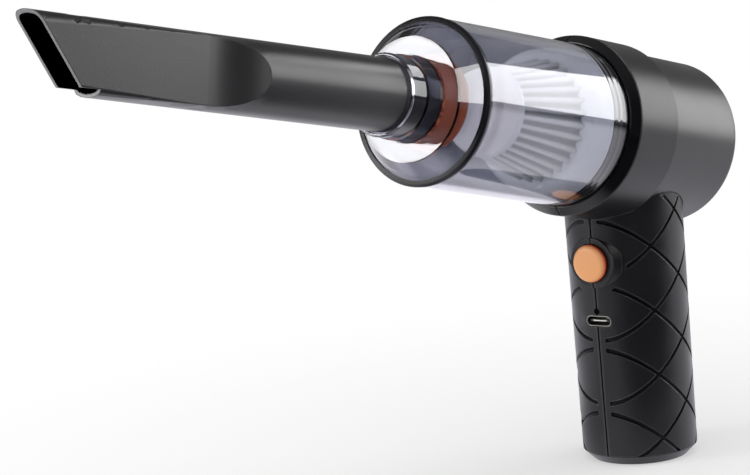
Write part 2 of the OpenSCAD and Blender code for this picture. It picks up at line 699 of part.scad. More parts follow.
crevice_tool();
dust_cup();
rim_ring();
inlet_sleeve();
inlet_flap();
filter_media();
filter_cap();
filter_base();
filter_seal();
cup_seat();
cup_seal();
cup_catch();
body_left();
body_right();
rear_cap();
base_cap();
case_screws();
power_button();
switch_plunger();
switch_body();
charge_light();
usb_shell();
usb_tongue();
circuit_board();
battery_cell();
battery_tabs();
fan_shroud();
impeller();
diffuser();
motor_can();
motor_magnets();
motor_end_cap();
motor_bushings();
motor_shaft();
rotor_core();
rotor_winding();
commutator();
motor_screws();
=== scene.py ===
# %% [markdown]
# A small cordless handheld vacuum: a lattice grip to stand on and hold, a raked barrel
# with the fan and motor, a smoked clear dust cup, and a long crevice tool in its neck.
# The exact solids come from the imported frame. This lesson dresses them: it sets up a
# plain studio, gives every piece its finish, replaces two solids with softer meshes, and
# adds the contacts of the charging socket.

# %% Load the frame
import json
import math

import bmesh
import bpy
from mathutils import Matrix, Vector


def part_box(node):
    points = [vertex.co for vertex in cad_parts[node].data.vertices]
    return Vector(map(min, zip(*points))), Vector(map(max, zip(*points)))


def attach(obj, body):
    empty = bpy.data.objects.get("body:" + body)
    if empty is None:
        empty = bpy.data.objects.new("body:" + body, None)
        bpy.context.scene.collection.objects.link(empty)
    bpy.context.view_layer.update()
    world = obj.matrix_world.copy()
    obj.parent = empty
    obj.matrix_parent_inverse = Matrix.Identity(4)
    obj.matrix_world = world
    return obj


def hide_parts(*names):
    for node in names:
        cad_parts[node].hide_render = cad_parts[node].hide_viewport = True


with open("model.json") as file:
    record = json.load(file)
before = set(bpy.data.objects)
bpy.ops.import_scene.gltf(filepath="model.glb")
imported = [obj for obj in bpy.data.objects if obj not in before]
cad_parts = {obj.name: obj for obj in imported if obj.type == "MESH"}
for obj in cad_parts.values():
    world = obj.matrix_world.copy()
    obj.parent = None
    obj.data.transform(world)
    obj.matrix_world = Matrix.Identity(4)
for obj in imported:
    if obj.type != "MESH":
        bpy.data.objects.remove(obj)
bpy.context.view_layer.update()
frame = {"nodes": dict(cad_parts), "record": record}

# %% [markdown]
# The barrel is raked 13 degrees and crosses the grip's axis 98.8 mm above the floor. Most
# pieces are round about it, so a place is easiest to give as a distance along the barrel,
# in millimetres ahead of that crossing.

# %% The barrel's own directions
MM = 0.001
RAKE = math.radians(13)
FORWARD = Vector((-math.cos(RAKE), 0, math.sin(RAKE)))
UP = Vector((math.sin(RAKE), 0, math.cos(RAKE)))
SIDE = Vector((0, 1, 0))
CROSSING = Vector((0, 0, 0.0988))

# Local +Z runs along the barrel, local +X points up across it, local +Y to the side.
BARREL = Matrix.Translation(CROSSING) @ Matrix((UP, SIDE, FORWARD)).transposed().to_4x4()
print("nose direction", [round(c, 4) for c in FORWARD])

# %% [markdown]
# The camera stands in front of the nose, a little above the barrel, with a long lens and
# a slight roll, so that the tool reaches towards the viewer. A long lens keeps the grip
# upright and the round rims only a little open.

# %% The camera
EYE = Vector((-0.570096, -0.39382, 0.174385))
LOOK = Vector((0.747812, 0.648029, -0.144343)).normalized()
ROLL = math.radians(-5.07)


def camera_turn(look, roll):
    right = look.cross(Vector((0, 0, 1))).normalized()
    up = right.cross(look)
    right, up = (
        right * math.cos(roll) + up * math.sin(roll),
        up * math.cos(roll) - right * math.sin(roll),
    )
    return Matrix((right, up, -look)).transposed()


lens = bpy.data.cameras.new("studio_camera")
lens.lens = 110.12
lens.sensor_width = 36
lens.clip_start = 0.01
camera = bpy.data.objects.new("studio_camera", lens)
camera.matrix_world = Matrix.Translation(EYE) @ camera_turn(LOOK, ROLL).to_4x4()
bpy.context.scene.collection.objects.link(camera)
bpy.context.scene.camera = camera
bpy.context.scene.view_settings.view_transform = "Standard"
print("camera", [round(c, 3) for c in EYE], "lens", lens.lens)

# %% [markdown]
# Glossy plastic is only as good as what it mirrors. The studio has four softboxes: a low
# wide one to the right, which draws the bright band along barrel and cup, one at the front
# left for the flat nose, and two small near ones, a leaning strip for the cone of the cup
# and one above the housing for the upper side of the tool. A near lamp can reach one piece
# and stay out of what the others mirror. A softbox is set by the direction it is seen in
# and by its radiance, so that its reflection can be planned before its size and distance
# are chosen. A fill lamp above and a narrow spot through the clear cup add light but aren't
# seen in any reflection.

# %% Softboxes
def compass(azimuth, elevation):
    """A direction: azimuth 0 is +X and 90 is +Y, both in degrees."""
    a, e = math.radians(azimuth), math.radians(elevation)
    return Vector((math.cos(e) * math.cos(a), math.cos(e) * math.sin(a), math.sin(e)))


def lamp_place(aim, azimuth, elevation, distance, roll=0.0):
    """Where a lamp hangs that shines at a point from a direction."""
    toward = compass(azimuth, elevation)
    return (
        Matrix.Translation(Vector(aim) + toward * distance)
        @ toward.to_track_quat("Z", "Y").to_matrix().to_4x4()
        @ Matrix.Rotation(math.radians(roll), 4, "Z")
    )


def softbox(name, azimuth, elevation, wide, high, radiance, distance=1.4, aim=(-0.05, 0, 0.1),
            roll=0.0):
    """An area lamp, wide and high degrees across, seen from the point it aims at."""
    light = bpy.data.lights.new(name, "AREA")
    light.shape = "RECTANGLE"
    light.size = 2 * distance * math.tan(math.radians(wide / 2))
    light.size_y = 2 * distance * math.tan(math.radians(high / 2))
    light.energy = radiance * 4 * light.size * light.size_y
    box = bpy.data.objects.new(name, light)
    box.matrix_world = lamp_place(aim, azimuth, elevation, distance, roll)
    box.visible_camera = False
    bpy.context.scene.collection.objects.link(box)
    print(name, round(light.energy, 1), "W")
    return box


softbox("band_box", -33, 9.4, 50, 28.6, 3.8)
softbox("nose_box", 138.6, 12.5, 21, 20, 8.0)
fill = softbox("fill_box", 200, 70, 60, 60, 0.9)
strip = softbox("cone_strip", 248, 30, 10, 46, 5.0, distance=0.4, aim=(-0.094, -0.016, 0.118),
                roll=-13)
rim = softbox("tool_box", 343, 27, 24, 12, 4.2, distance=0.2, aim=(-0.14, 0.0, 0.135))
strip.visible_diffuse = False
rim.visible_diffuse = False
rim.visible_transmission = False

# %% The spot through the cup
CUP_MIDDLE = CROSSING + FORWARD * 46 * MM

beam = bpy.data.lights.new("cup_spot", "SPOT")
beam.energy = 6.0
beam.spot_size = math.radians(6.5)
beam.spot_blend = 0.6
beam.shadow_soft_size = 0.012
spot = bpy.data.objects.new("cup_spot", beam)
spot.matrix_world = lamp_place(CUP_MIDDLE, 212, 6, 0.6)
bpy.context.scene.collection.objects.link(spot)
for lamp in (fill, spot):
    lamp.visible_glossy = False
    lamp.visible_transmission = False
print("spot", beam.energy, "W")

# %% [markdown]
# Materials are trees of nodes. Written out in full they get long, so the steps that come
# again and again are helpers: a sum or a product, a mask made from a range, and a blend of
# two values. Each such step takes sockets or plain numbers and returns the socket with its
# result.

# %% Helpers for nodes
def node(tree, kind, **values):
    """A new node. Its properties are given by name, and its sockets by number or name."""
    n = tree.nodes.new(kind)
    for key, value in values.items():
        if key.startswith("in_"):
            key = key[3:]
            n.inputs[int(key) if key.isdigit() else key.replace("_", " ")].default_value = value
        else:
            setattr(n, key, value)
    return n


def join(tree, *pairs):
    """Links outputs to inputs, given in turn."""
    for a, b in zip(pairs[::2], pairs[1::2]):
        tree.links.new(a, b)


def give(tree, sockets, values):
    """Feeds inputs in turn: a socket is linked, and a plain value is set."""
    for socket, value in zip(sockets, values):
        if isinstance(value, bpy.types.NodeSocket):
            tree.links.new(value, socket)
        else:
            socket.default_value = value


print("helpers", [helper.__name__ for helper in (node, join, give)])


# %% Steps made of nodes
def calc(tree, operation, *values):
    n = node(tree, "ShaderNodeMath", operation=operation)
    give(tree, n.inputs, values)
    return n.outputs[0]


def product(tree, first, *others):
    for other in others:
        first = calc(tree, "MULTIPLY", first, other)
    return first


def vector(tree, operation, *values):
    """Vector Math. A length, a distance or a dot product comes out as a number."""
    n = node(tree, "ShaderNodeVectorMath", operation=operation)
    give(tree, n.inputs, values)
    return n.outputs["Value" if operation in ("DOT_PRODUCT", "DISTANCE", "LENGTH") else "Vector"]


def ranged(tree, value, start, end, low=0.0, high=1.0, smooth=False):
    """Carries the range from start to end over to the one from low to high, and clamps it."""
    n = node(tree, "ShaderNodeMapRange", interpolation_type="SMOOTHSTEP" if smooth else "LINEAR")
    give(tree, n.inputs, (value, start, end, low, high))
    return n.outputs[0]


def blend(tree, factor, first, second, kind="RGBA", way="MIX"):
    """Mixes two colours, vectors or numbers. A factor of 1 gives the second one."""
    n = node(tree, "ShaderNodeMix", data_type=kind, blend_type=way)
    at, result = {"FLOAT": (2, 0), "VECTOR": (4, 1), "RGBA": (6, 2)}[kind]
    give(tree, (n.inputs[0], n.inputs[at], n.inputs[at + 1]), (factor, first, second))
    return n.outputs[result]


def xyz(tree, place):
    n = node(tree, "ShaderNodeSeparateXYZ")
    join(tree, place, n.inputs[0])
    return n.outputs


print("steps", [step.__name__ for step in (calc, product, vector, ranged, blend, xyz)])

# %% [markdown]
# Round the softboxes is a dim room with a paler ceiling, over a white floor. The camera
# sees plain white instead, and clear plastic shows it a little greyer. A mirror sees the
# dim room, which keeps black plastic black and lets the softboxes draw its shape. Behind
# the object hangs a grey backdrop with a level top edge, which draws the paler strip along
# the top of the cup and lights the far outlines.

# %% The world
TO_CAMERA = Vector((-0.82, -0.57, 0))

world = bpy.data.worlds.new("studio")
bpy.context.scene.world = world
world.use_nodes = True
tree = world.node_tree
tree.nodes.clear()
ray = node(tree, "ShaderNodeLightPath").outputs
way = node(tree, "ShaderNodeTexCoord").outputs["Generated"]
up = xyz(tree, way)["Z"]
ceiling = ranged(tree, up, 0.40, 0.95, 0.07, 0.28, smooth=True)
cloth = ranged(tree, vector(tree, "DOT_PRODUCT", way, -TO_CAMERA), 0.45, 0.85, 0.0, 0.30,
               smooth=True)
hem = ranged(tree, up, 0.375, 0.390, 1.0, 0.0)
room = calc(tree, "MAXIMUM", ceiling, product(tree, cloth, hem))
lighting = blend(tree, ray["Is Glossy Ray"], 0.46, room, "FLOAT")
white = calc(tree, "MULTIPLY_ADD", ray["Is Camera Ray"], 0.12, 0.88)
seen = calc(tree, "MAXIMUM", ray["Is Camera Ray"], ray["Is Transmission Ray"])
shine = node(tree, "ShaderNodeBackground", in_Color=(1, 1, 1, 1))
out = node(tree, "ShaderNodeOutputWorld")
join(tree,
     blend(tree, seen, lighting, white, "FLOAT"), shine.inputs["Strength"],
     shine.outputs[0], out.inputs["Surface"])
print("world nodes", len(tree.nodes))

# %% [markdown]
# The floor is one pale disc. Near the object half of it is ordinary matt card, which takes
# the soft shadow, and further out it fades into the white of the world, so no edge shows.
# A mirror sees a brightly lit sheet of card that fades away from 0.4 metres on. Its corner
# nearest the camera is dark, so the grip keeps a dark middle and the cup a dark line over
# the floor. A duller strip lies a few centimetres to the left, and beyond it the sheet is
# bright again.

# %% The floor
def new_material(name):
    material = bpy.data.materials.new(name)
    material.use_nodes = True
    material.node_tree.nodes.clear()
    return material


def own_place(tree):
    """An object's own coordinates, which are metres in the shared frame."""
    return node(tree, "ShaderNodeTexCoord").outputs["Object"]


bm = bmesh.new()
bmesh.ops.create_circle(bm, cap_ends=True, segments=96, radius=3.0)
mesh = bpy.data.meshes.new("floor")
bm.to_mesh(mesh)
bm.free()
floor = bpy.data.objects.new("floor", mesh)
bpy.context.scene.collection.objects.link(floor)
print("floor radius 3 m")

# %% What the floor shows to a mirror
card = new_material("pale_card")
mesh.materials.append(card)
tree = card.node_tree
ray = node(tree, "ShaderNodeLightPath").outputs
place = own_place(tree)
far = vector(tree, "LENGTH", place)
left = xyz(tree, place)["Y"]
front = ranged(tree, vector(tree, "DOT_PRODUCT", place, TO_CAMERA), 0.0, 0.10, smooth=True)
right = ranged(tree, left, 0.0, -0.06, smooth=True)
corner = ranged(tree, product(tree, front, right), 0.0, 1.0, 1.3, 0.05)
dull = ranged(tree, left, 0.0, 0.06, 1.0, 0.5, smooth=True)
beyond = ranged(tree, left, 0.06, 0.09, 1.0, 2.1, smooth=True)
sheet = ranged(tree, far, 0.40, 0.75, 1.0, 0.06, smooth=True)
mirrored = product(tree, corner, dull, beyond, sheet)
strength = blend(tree, ray["Is Glossy Ray"], 1.0, mirrored, "FLOAT")
tint = blend(tree, ray["Is Glossy Ray"], (1, 1, 1, 1), (0.95, 0.93, 1.0, 1))

# %% Card near the object, white further out
fade = ranged(tree, far, 0.05, 0.30, 0.45, 1.0, smooth=True)
seen = calc(tree, "MAXIMUM", ray["Is Camera Ray"], ray["Is Transmission Ray"])
amount = calc(tree, "MAXIMUM", product(tree, seen, fade), ray["Is Glossy Ray"])
matt = node(tree, "ShaderNodeBsdfDiffuse", in_Color=(0.86, 0.86, 0.86, 1))
white = node(tree, "ShaderNodeEmission")
mix = node(tree, "ShaderNodeMixShader")
out = node(tree, "ShaderNodeOutputMaterial")
join(tree,
     tint, white.inputs["Color"],
     strength, white.inputs["Strength"],
     amount, mix.inputs[0],
     matt.outputs[0], mix.inputs[1],
     white.outputs[0], mix.inputs[2],
     mix.outputs[0], out.inputs["Surface"])
print("card nodes", len(tree.nodes))

# %% [markdown]
# Effects that several finishes share are node groups, built once. The first is the fine
# texture that a spark-eroded mould leaves on plastic: a close grain that breaks up the
# gloss, with a slow drift of tone and gloss over it from handling and flow in the mould.

# %% Group: moulded grain
def group(name, inputs, outputs):
    """A shader node group with named sockets: (name, kind, default) and (name, kind)."""
    g = bpy.data.node_groups.new(name, "ShaderNodeTree")
    for label, kind, value in inputs:
        s = g.interface.new_socket(label, in_out="INPUT", socket_type="NodeSocket" + kind)
        if value is not None:
            s.default_value = value
    for label, kind in outputs:
        g.interface.new_socket(label, in_out="OUTPUT", socket_type="NodeSocket" + kind)
    print("group", name, "gives", [label for label, _ in outputs])
    return g, node(g, "NodeGroupInput"), node(g, "NodeGroupOutput")


grain_group, gi, go = group(
    "moulded_grain",
    [("Vector", "Vector", None), ("Grain size", "Float", 2500.0), ("Drift size", "Float", 30.0)],
    [("Height", "Float"), ("Grain", "Float"), ("Drift", "Float")],
)
fine = node(grain_group, "ShaderNodeTexNoise", in_Detail=2.0, in_Roughness=0.55)
pits = node(grain_group, "ShaderNodeTexVoronoi", feature="SMOOTH_F1", in_Smoothness=0.6)
slow = node(grain_group, "ShaderNodeTexNoise", in_Detail=3.0, in_Roughness=0.5)
both = node(grain_group, "ShaderNodeMath", operation="MULTIPLY")
join(grain_group,
     gi.outputs["Vector"], fine.inputs["Vector"],
     gi.outputs["Grain size"], fine.inputs["Scale"],
     gi.outputs["Vector"], pits.inputs["Vector"],
     gi.outputs["Grain size"], pits.inputs["Scale"],
     gi.outputs["Vector"], slow.inputs["Vector"],
     gi.outputs["Drift size"], slow.inputs["Scale"],
     fine.outputs[0], both.inputs[0],
     pits.outputs["Distance"], both.inputs[1],
     both.outputs[0], go.inputs["Height"],
     fine.outputs[0], go.inputs["Grain"],
     slow.outputs[0], go.inputs["Drift"])

# %% [markdown]
# Edges of a moulded part are never knife sharp, and hands polish them first. The edge
# group compares the true normal with one that is rounded over a small radius. Where the
# two differ there is an edge, and a little noise breaks it up. The mask carries both wear
# and a painted highlight on the edges.

# %% Group: worn edge
edge_group, gi, go = group(
    "worn_edge",
    [("Vector", "Vector", None), ("Radius", "Float", 0.0006), ("Break up", "Float", 400.0)],
    [("Mask", "Float"), ("Rounded", "Vector")],
)
soft = node(edge_group, "ShaderNodeBevel", samples=4)
true = node(edge_group, "ShaderNodeNewGeometry")
match = node(edge_group, "ShaderNodeVectorMath", operation="DOT_PRODUCT")
differ = node(edge_group, "ShaderNodeMapRange", in_1=0.995, in_2=0.90, in_3=0.0, in_4=1.0)
speck = node(edge_group, "ShaderNodeTexNoise", in_Detail=2.0)
broken = node(edge_group, "ShaderNodeMath", operation="MULTIPLY")
join(edge_group,
     gi.outputs["Radius"], soft.inputs["Radius"],
     soft.outputs[0], match.inputs[0],
     true.outputs["Normal"], match.inputs[1],
     match.outputs["Value"], differ.inputs[0],
     gi.outputs["Vector"], speck.inputs["Vector"],
     gi.outputs["Break up"], speck.inputs["Scale"],
     differ.outputs[0], broken.inputs[0],
     speck.outputs[0], broken.inputs[1],
     broken.outputs[0], go.inputs["Mask"],
     soft.outputs[0], go.inputs["Rounded"])

# %% [markdown]
# Every recipe for a solid finish ends alike: a Bump node that turns a height into a normal,
# the main shader with its colour and gloss, and the output. That end is written once.

# %% The end of a recipe
def lay_on(tree, colour, rough, height, strength, depth, normal=None, **values):
    """Sets the surface from a colour, a roughness and a height. Values go on the shader."""
    bump = node(tree, "ShaderNodeBump", in_Strength=strength, in_Distance=depth)
    skin = node(tree, "ShaderNodeBsdfPrincipled", **values)
    out = node(tree, "ShaderNodeOutputMaterial")
    join(tree,
         height, bump.inputs["Height"],
         colour, skin.inputs["Base Color"],
         rough, skin.inputs["Roughness"],
         bump.outputs[0], skin.inputs["Normal"],
         skin.outputs[0], out.inputs["Surface"])
    if normal:
        join(tree, normal, bump.inputs["Normal"])


# %% [markdown]
# Most pieces are moulded plastic or rubber, and differ only in colour, gloss and grain.
# One recipe makes them all: the grain drives bump and roughness, the drift shades the
# colour a little, and the edge turns paler and smoother: partly wear, partly a painted
# highlight along edges that would catch the light.

# %% The moulded finish
WORN_GLOSS = 0.08


def moulded(name, colour, rough, grain=2500.0, bump=0.05, drift=0.10, wear_and_sheen=0.25,
            radius=0.0004, worn_and_sheen_colour=None, rough_spread=0.06, ior=1.46):
    """A moulded plastic or rubber, with its grain, drift of tone, and edges made paler by wear and
    by a painted highlight.
    """
    material = new_material(name)
    tree = material.node_tree
    place = own_place(tree)
    grain_node = node(tree, "ShaderNodeGroup", node_tree=grain_group, in_Grain_size=grain)
    edge_node = node(tree, "ShaderNodeGroup", node_tree=edge_group, in_Radius=radius)
    join(tree, place, grain_node.inputs["Vector"], place, edge_node.inputs["Vector"])
    dark = [c * (1 - drift) for c in colour]
    pale = [min(1.0, c * (1 + drift)) for c in colour]
    worn_and_sheen_colour = worn_and_sheen_colour or [min(1.0, c * 1.6 + 0.006) for c in colour]
    tone = blend(tree, grain_node.outputs["Drift"], (*dark, 1), (*pale, 1))
    # Paler edges: partly wear, partly a painted highlight where edges would catch the light.
    paint = blend(tree, product(tree, edge_node.outputs["Mask"], wear_and_sheen), tone, (*worn_and_sheen_colour, 1))
    gloss = ranged(tree, grain_node.outputs["Drift"], 0.3, 0.7,
                   rough - rough_spread, rough + rough_spread)
    rubbed = calc(tree, "MULTIPLY_ADD", edge_node.outputs["Mask"], -WORN_GLOSS, gloss)
    lay_on(tree, paint, rubbed, grain_node.outputs["Height"], bump, 0.0001,
           edge_node.outputs["Rounded"], in_IOR=ior)
    return material


print("worn edges are smoother by", WORN_GLOSS)


# %% The moulded finishes
finish = {
    # The grip's pale edges are wear plus a strong painted highlight along lattice and seam edges.
    "charcoal_grip": moulded("housing_halves", (0.009, 0.009, 0.011), 0.34, bump=0.06,
                             wear_and_sheen=0.9, worn_and_sheen_colour=(0.12, 0.12, 0.13), ior=1.38),
    # The foot's cap: a darker copy of the grip's finish with less shine, painted shade where it
    # mirrors the floor in shadow.
    "shaded_foot_plastic": moulded("shaded_foot_plastic", (0.006, 0.006, 0.008), 0.36, bump=0.06,
                            wear_and_sheen=0.3, worn_and_sheen_colour=(0.08, 0.08, 0.09), ior=1.27),
    "graphite_shell": moulded("satin_graphite", (0.016, 0.016, 0.018), 0.34, bump=0.06,
                              wear_and_sheen=0.6, worn_and_sheen_colour=(0.10, 0.10, 0.11)),
    "tool_plastic": moulded("satin_tool", (0.015, 0.015, 0.017), 0.33, grain=2200.0, bump=0.16,
                            wear_and_sheen=0.35, worn_and_sheen_colour=(0.16, 0.16, 0.165), rough_spread=0.03),
    "black_gloss": moulded("gloss_black", (0.005, 0.0045, 0.007), 0.26, bump=0.03, wear_and_sheen=0.1,
                           rough_spread=0.04, radius=0.0003, ior=1.38),
    "dark_lens": moulded("dark_lens", (0.001, 0.001, 0.001), 0.35, bump=0.02, wear_and_sheen=0.0,
                         ior=1.12),
    "black_plastic": moulded("matt_black", (0.016, 0.016, 0.018), 0.5, bump=0.10),
    "orange_plastic": moulded("button_orange", (0.80, 0.365, 0.145), 0.36, bump=0.03,
                              wear_and_sheen=0.1, drift=0.05),
    "orange_silicone": moulded("orange_silicone", (0.44, 0.115, 0.055), 0.30, bump=0.05,
                               drift=0.06, wear_and_sheen=0.1),
    "catch_plastic": moulded("orange_catch", (0.85, 0.22, 0.08), 0.32, bump=0.03, wear_and_sheen=0.1,
                             drift=0.05),
    "seal_rubber": moulded("seal_rubber", (0.014, 0.014, 0.015), 0.62, bump=0.2, grain=1500.0),
    "filter_plastic": moulded("frosted_white", (0.84, 0.86, 0.88), 0.40, bump=0.06, drift=0.04,
                              wear_and_sheen=0.05),
    "impeller_plastic": moulded("natural_nylon", (0.72, 0.72, 0.68), 0.4, bump=0.04, drift=0.05),
    "magnet": moulded("ferrite_magnet", (0.045, 0.045, 0.048), 0.55, grain=5000.0, bump=0.3,
                      worn_and_sheen_colour=(0.12, 0.12, 0.13)),
    "cell_wrap": moulded("shrunk_cell_sleeve", (0.07, 0.24, 0.46), 0.22, grain=500.0,
                         bump=0.25, drift=0.08, wear_and_sheen=0.5, worn_and_sheen_colour=(0.45, 0.5, 0.58)),
}
print("moulded finishes", len(finish))

# %% [markdown]
# The dust cup is smoked clear plastic: a thin polished wall that is coloured right
# through. Its colour is that of light that has crossed one wall. A ray from a lamp takes
# a plain tinted way through, so the filter inside is lit and casts a soft shadow. The
# front ring of the neck is drawn in slightly towards the mouth: a height that falls along
# the barrel, through a Bump node, leans its normals forward. Three shallow rings run
# round the rear of the cup, where it is turned to fit the collar, and a sine adds them.

# %% A stretch of the barrel as a mask
CROSSING_AHEAD = CROSSING.dot(FORWARD)


def forward_of(tree):
    """How far a place lies along the barrel's direction, in metres."""
    return vector(tree, "DOT_PRODUCT", own_place(tree), FORWARD)


def along_barrel(tree, forward, start, end, *limits, smooth=False):
    """Ranges that distance between two places in millimetres ahead of the crossing."""
    start, end = (spot * MM + CROSSING_AHEAD for spot in (start, end))
    return ranged(tree, forward, start, end, *limits, smooth=smooth)


print("crossing", round(CROSSING_AHEAD, 5), "m along the barrel's direction")


# %% The smoked clear finish
NECK_RING = (105.4, 110.8)
NECK_DRAWN_IN = 0.76
RINGS_START = (29.5, 30.5)
RINGS_END = (37.5, 36.5)
RING_PITCH = 2.4
RING_HEIGHT = 0.022


def smoked_clear(name, tint, rough=0.03):
    material = new_material(name)
    tree = material.node_tree
    grain_node = node(tree, "ShaderNodeGroup", node_tree=grain_group, in_Grain_size=900.0,
                      in_Drift_size=22.0)
    fog = ranged(tree, grain_node.outputs["Drift"], 0.35, 0.75, rough * 0.6, rough * 1.8)
    wave = node(tree, "ShaderNodeBump", in_Strength=0.02, in_Distance=0.0002)
    forward = forward_of(tree)
    fall = along_barrel(tree, forward, *NECK_RING, 0.0, -NECK_DRAWN_IN * MM)
    ripple = calc(tree, "SINE", product(tree, forward, 2 * math.pi / (RING_PITCH * MM)))
    starts = along_barrel(tree, forward, *RINGS_START, 0.0, RING_HEIGHT * MM, smooth=True)
    ends = along_barrel(tree, forward, *RINGS_END, smooth=True)
    rings = product(tree, ripple, starts, ends)
    taper = node(tree, "ShaderNodeBump", in_Strength=1.0, in_Distance=1.0)
    clear = node(tree, "ShaderNodeBsdfPrincipled", in_Base_Color=(*tint, 1), in_IOR=1.585,
                 in_Transmission_Weight=1.0, in_Coat_Weight=0.25, in_Coat_Roughness=0.02)
    shade = node(tree, "ShaderNodeBsdfTransparent", in_Color=(*[c ** 0.05 for c in tint], 1))
    ray = node(tree, "ShaderNodeLightPath").outputs
    mix = node(tree, "ShaderNodeMixShader")
    out = node(tree, "ShaderNodeOutputMaterial")
    join(tree,
         own_place(tree), grain_node.inputs["Vector"],
         grain_node.outputs["Drift"], wave.inputs["Height"],
         calc(tree, "ADD", fall, rings), taper.inputs["Height"],
         wave.outputs[0], taper.inputs["Normal"],
         taper.outputs[0], clear.inputs["Normal"],
         fog, clear.inputs["Roughness"],
         calc(tree, "MAXIMUM", ray["Is Shadow Ray"], ray["Is Diffuse Ray"]), mix.inputs[0],
         clear.outputs[0], mix.inputs[1],
         shade.outputs[0], mix.inputs[2],
         mix.outputs[0], out.inputs["Surface"])
    return material


finish["smoked_clear"] = smoked_clear("smoked_clear", (0.33, 0.335, 0.395))
print("cup's rings", RING_PITCH, "mm apart")

# %% [markdown]
# Metal parts are drawn, rolled or turned, so their marks run one way. The brushed group
# stretches noise along one direction. A Mapping node in the material turns that direction
# round to suit the piece, and the marks then move the roughness and a faint bump.

# %% Group: brushed marks
brushed_group, gi, go = group(
    "brushed_marks",
    [("Vector", "Vector", None), ("Line size", "Float", 3000.0), ("Length", "Float", 0.03)],
    [("Lines", "Float"), ("Stain", "Float")],
)
stretch = node(brushed_group, "ShaderNodeCombineXYZ", in_X=1.0, in_Y=1.0)
pulled = node(brushed_group, "ShaderNodeVectorMath", operation="MULTIPLY")
lines = node(brushed_group, "ShaderNodeTexNoise", in_Detail=3.0, in_Roughness=0.7)
stain = node(brushed_group, "ShaderNodeTexNoise", in_Scale=140.0, in_Detail=4.0, in_Roughness=0.6)
join(brushed_group,
     gi.outputs["Length"], stretch.inputs["Z"],
     gi.outputs["Vector"], pulled.inputs[0],
     stretch.outputs[0], pulled.inputs[1],
     pulled.outputs[0], lines.inputs["Vector"],
     gi.outputs["Line size"], lines.inputs["Scale"],
     gi.outputs["Vector"], stain.inputs["Vector"],
     lines.outputs[0], go.inputs["Lines"],
     stain.outputs[0], go.inputs["Stain"])


# %% The metal finish
LINE_GLOSS = 0.10


def metal(name, colour, rough, line=3000.0, bump=0.05, stain=0.12, turn=(0, 0, 0)):
    material = new_material(name)
    tree = material.node_tree
    place = own_place(tree)
    grain_way = node(tree, "ShaderNodeMapping", in_Rotation=turn)
    line_node = node(tree, "ShaderNodeGroup", node_tree=brushed_group, in_Line_size=line)
    edge_node = node(tree, "ShaderNodeGroup", node_tree=edge_group, in_Radius=0.0003)
    join(tree,
         place, grain_way.inputs[0],
         grain_way.outputs[0], line_node.inputs["Vector"],
         place, edge_node.inputs["Vector"])
    stained = [c * (1 - stain) for c in colour]
    clean = ranged(tree, line_node.outputs["Stain"], 0.35, 0.65)
    tone = blend(tree, clean, (*stained, 1), (*colour, 1))
    gloss = ranged(tree, line_node.outputs["Lines"], 0.25, 0.75,
                   rough - LINE_GLOSS, rough + LINE_GLOSS)
    lay_on(tree, tone, gloss, line_node.outputs["Lines"], bump, 0.00005,
           edge_node.outputs["Rounded"], in_Metallic=1.0)
    return material


rake_turn = (0, math.pi / 2 - RAKE, 0)
finish["steel"] = metal("bright_steel", (0.58, 0.58, 0.60), 0.26)
finish["socket_steel"] = metal("socket_steel", (0.34, 0.34, 0.29), 0.42, line=6000.0)
finish["contact_steel"] = metal("contact_steel", (0.55, 0.54, 0.51), 0.45, line=6000.0, stain=0.05)
finish["motor_steel"] = metal("zinc_plated_can", (0.62, 0.62, 0.60), 0.34, turn=rake_turn,
                              stain=0.2)
finish["nickel"] = metal("nickel_strip", (0.66, 0.63, 0.57), 0.30, line=2000.0)
finish["copper"] = metal("bare_copper", (0.78, 0.36, 0.20), 0.26, turn=rake_turn)
finish["bronze"] = metal("sintered_bronze", (0.50, 0.36, 0.18), 0.50, line=6000.0, bump=0.25)
print("finishes with the metals", len(finish))

# %% [markdown]
# Filter paper is a soft white fleece: no gloss at all, fibres that lie every way, and
# painted shade, grey, at the bottom of each fold. Light also comes through it a little.

# %% The filter paper
def fleece(name, colour, valley_shade_colour):
    material = new_material(name)
    tree = material.node_tree
    place = own_place(tree)
    fibre = node(tree, "ShaderNodeTexNoise", in_Scale=2600.0, in_Detail=6.0, in_Roughness=0.75,
                 in_Distortion=1.5)
    cloud = node(tree, "ShaderNodeTexNoise", in_Scale=120.0, in_Detail=3.0)
    fold = node(tree, "ShaderNodeAttribute", attribute_name="fold")
    join(tree, place, fibre.inputs["Vector"], place, cloud.inputs["Vector"])
    patchy = calc(tree, "MULTIPLY_ADD", fibre.outputs[0], 0.5, product(tree, cloud.outputs[0], 0.5))
    tone = blend(tree, patchy, (*[c * 0.88 for c in colour], 1), (*colour, 1))
    # Painted shade: the colour turns grey towards the bottom of each fold.
    painted_fold_shade = ranged(tree, fold.outputs["Fac"], 0.25, 0.85, smooth=True)
    matt = ranged(tree, fibre.outputs[0], 0.0, 1.0, 0.82, 0.98)
    lay_on(tree, blend(tree, painted_fold_shade, tone, (*valley_shade_colour, 1)), matt, fibre.outputs[0], 0.5, 0.00012,
           in_Sheen_Weight=0.25, in_Subsurface_Weight=0.2,
           in_Subsurface_Radius=(0.5, 0.45, 0.4), in_Subsurface_Scale=0.0008)
    return material


finish["filter_paper"] = fleece("filter_fleece", (0.88, 0.88, 0.87), (0.30, 0.31, 0.32))
print("filter paper done")

# %% [markdown]
# The circuit board is woven glass and resin under green solder mask: the weave shows as
# a faint grid, and copper tracks lie under the mask as paler lines that turn at right
# angles.

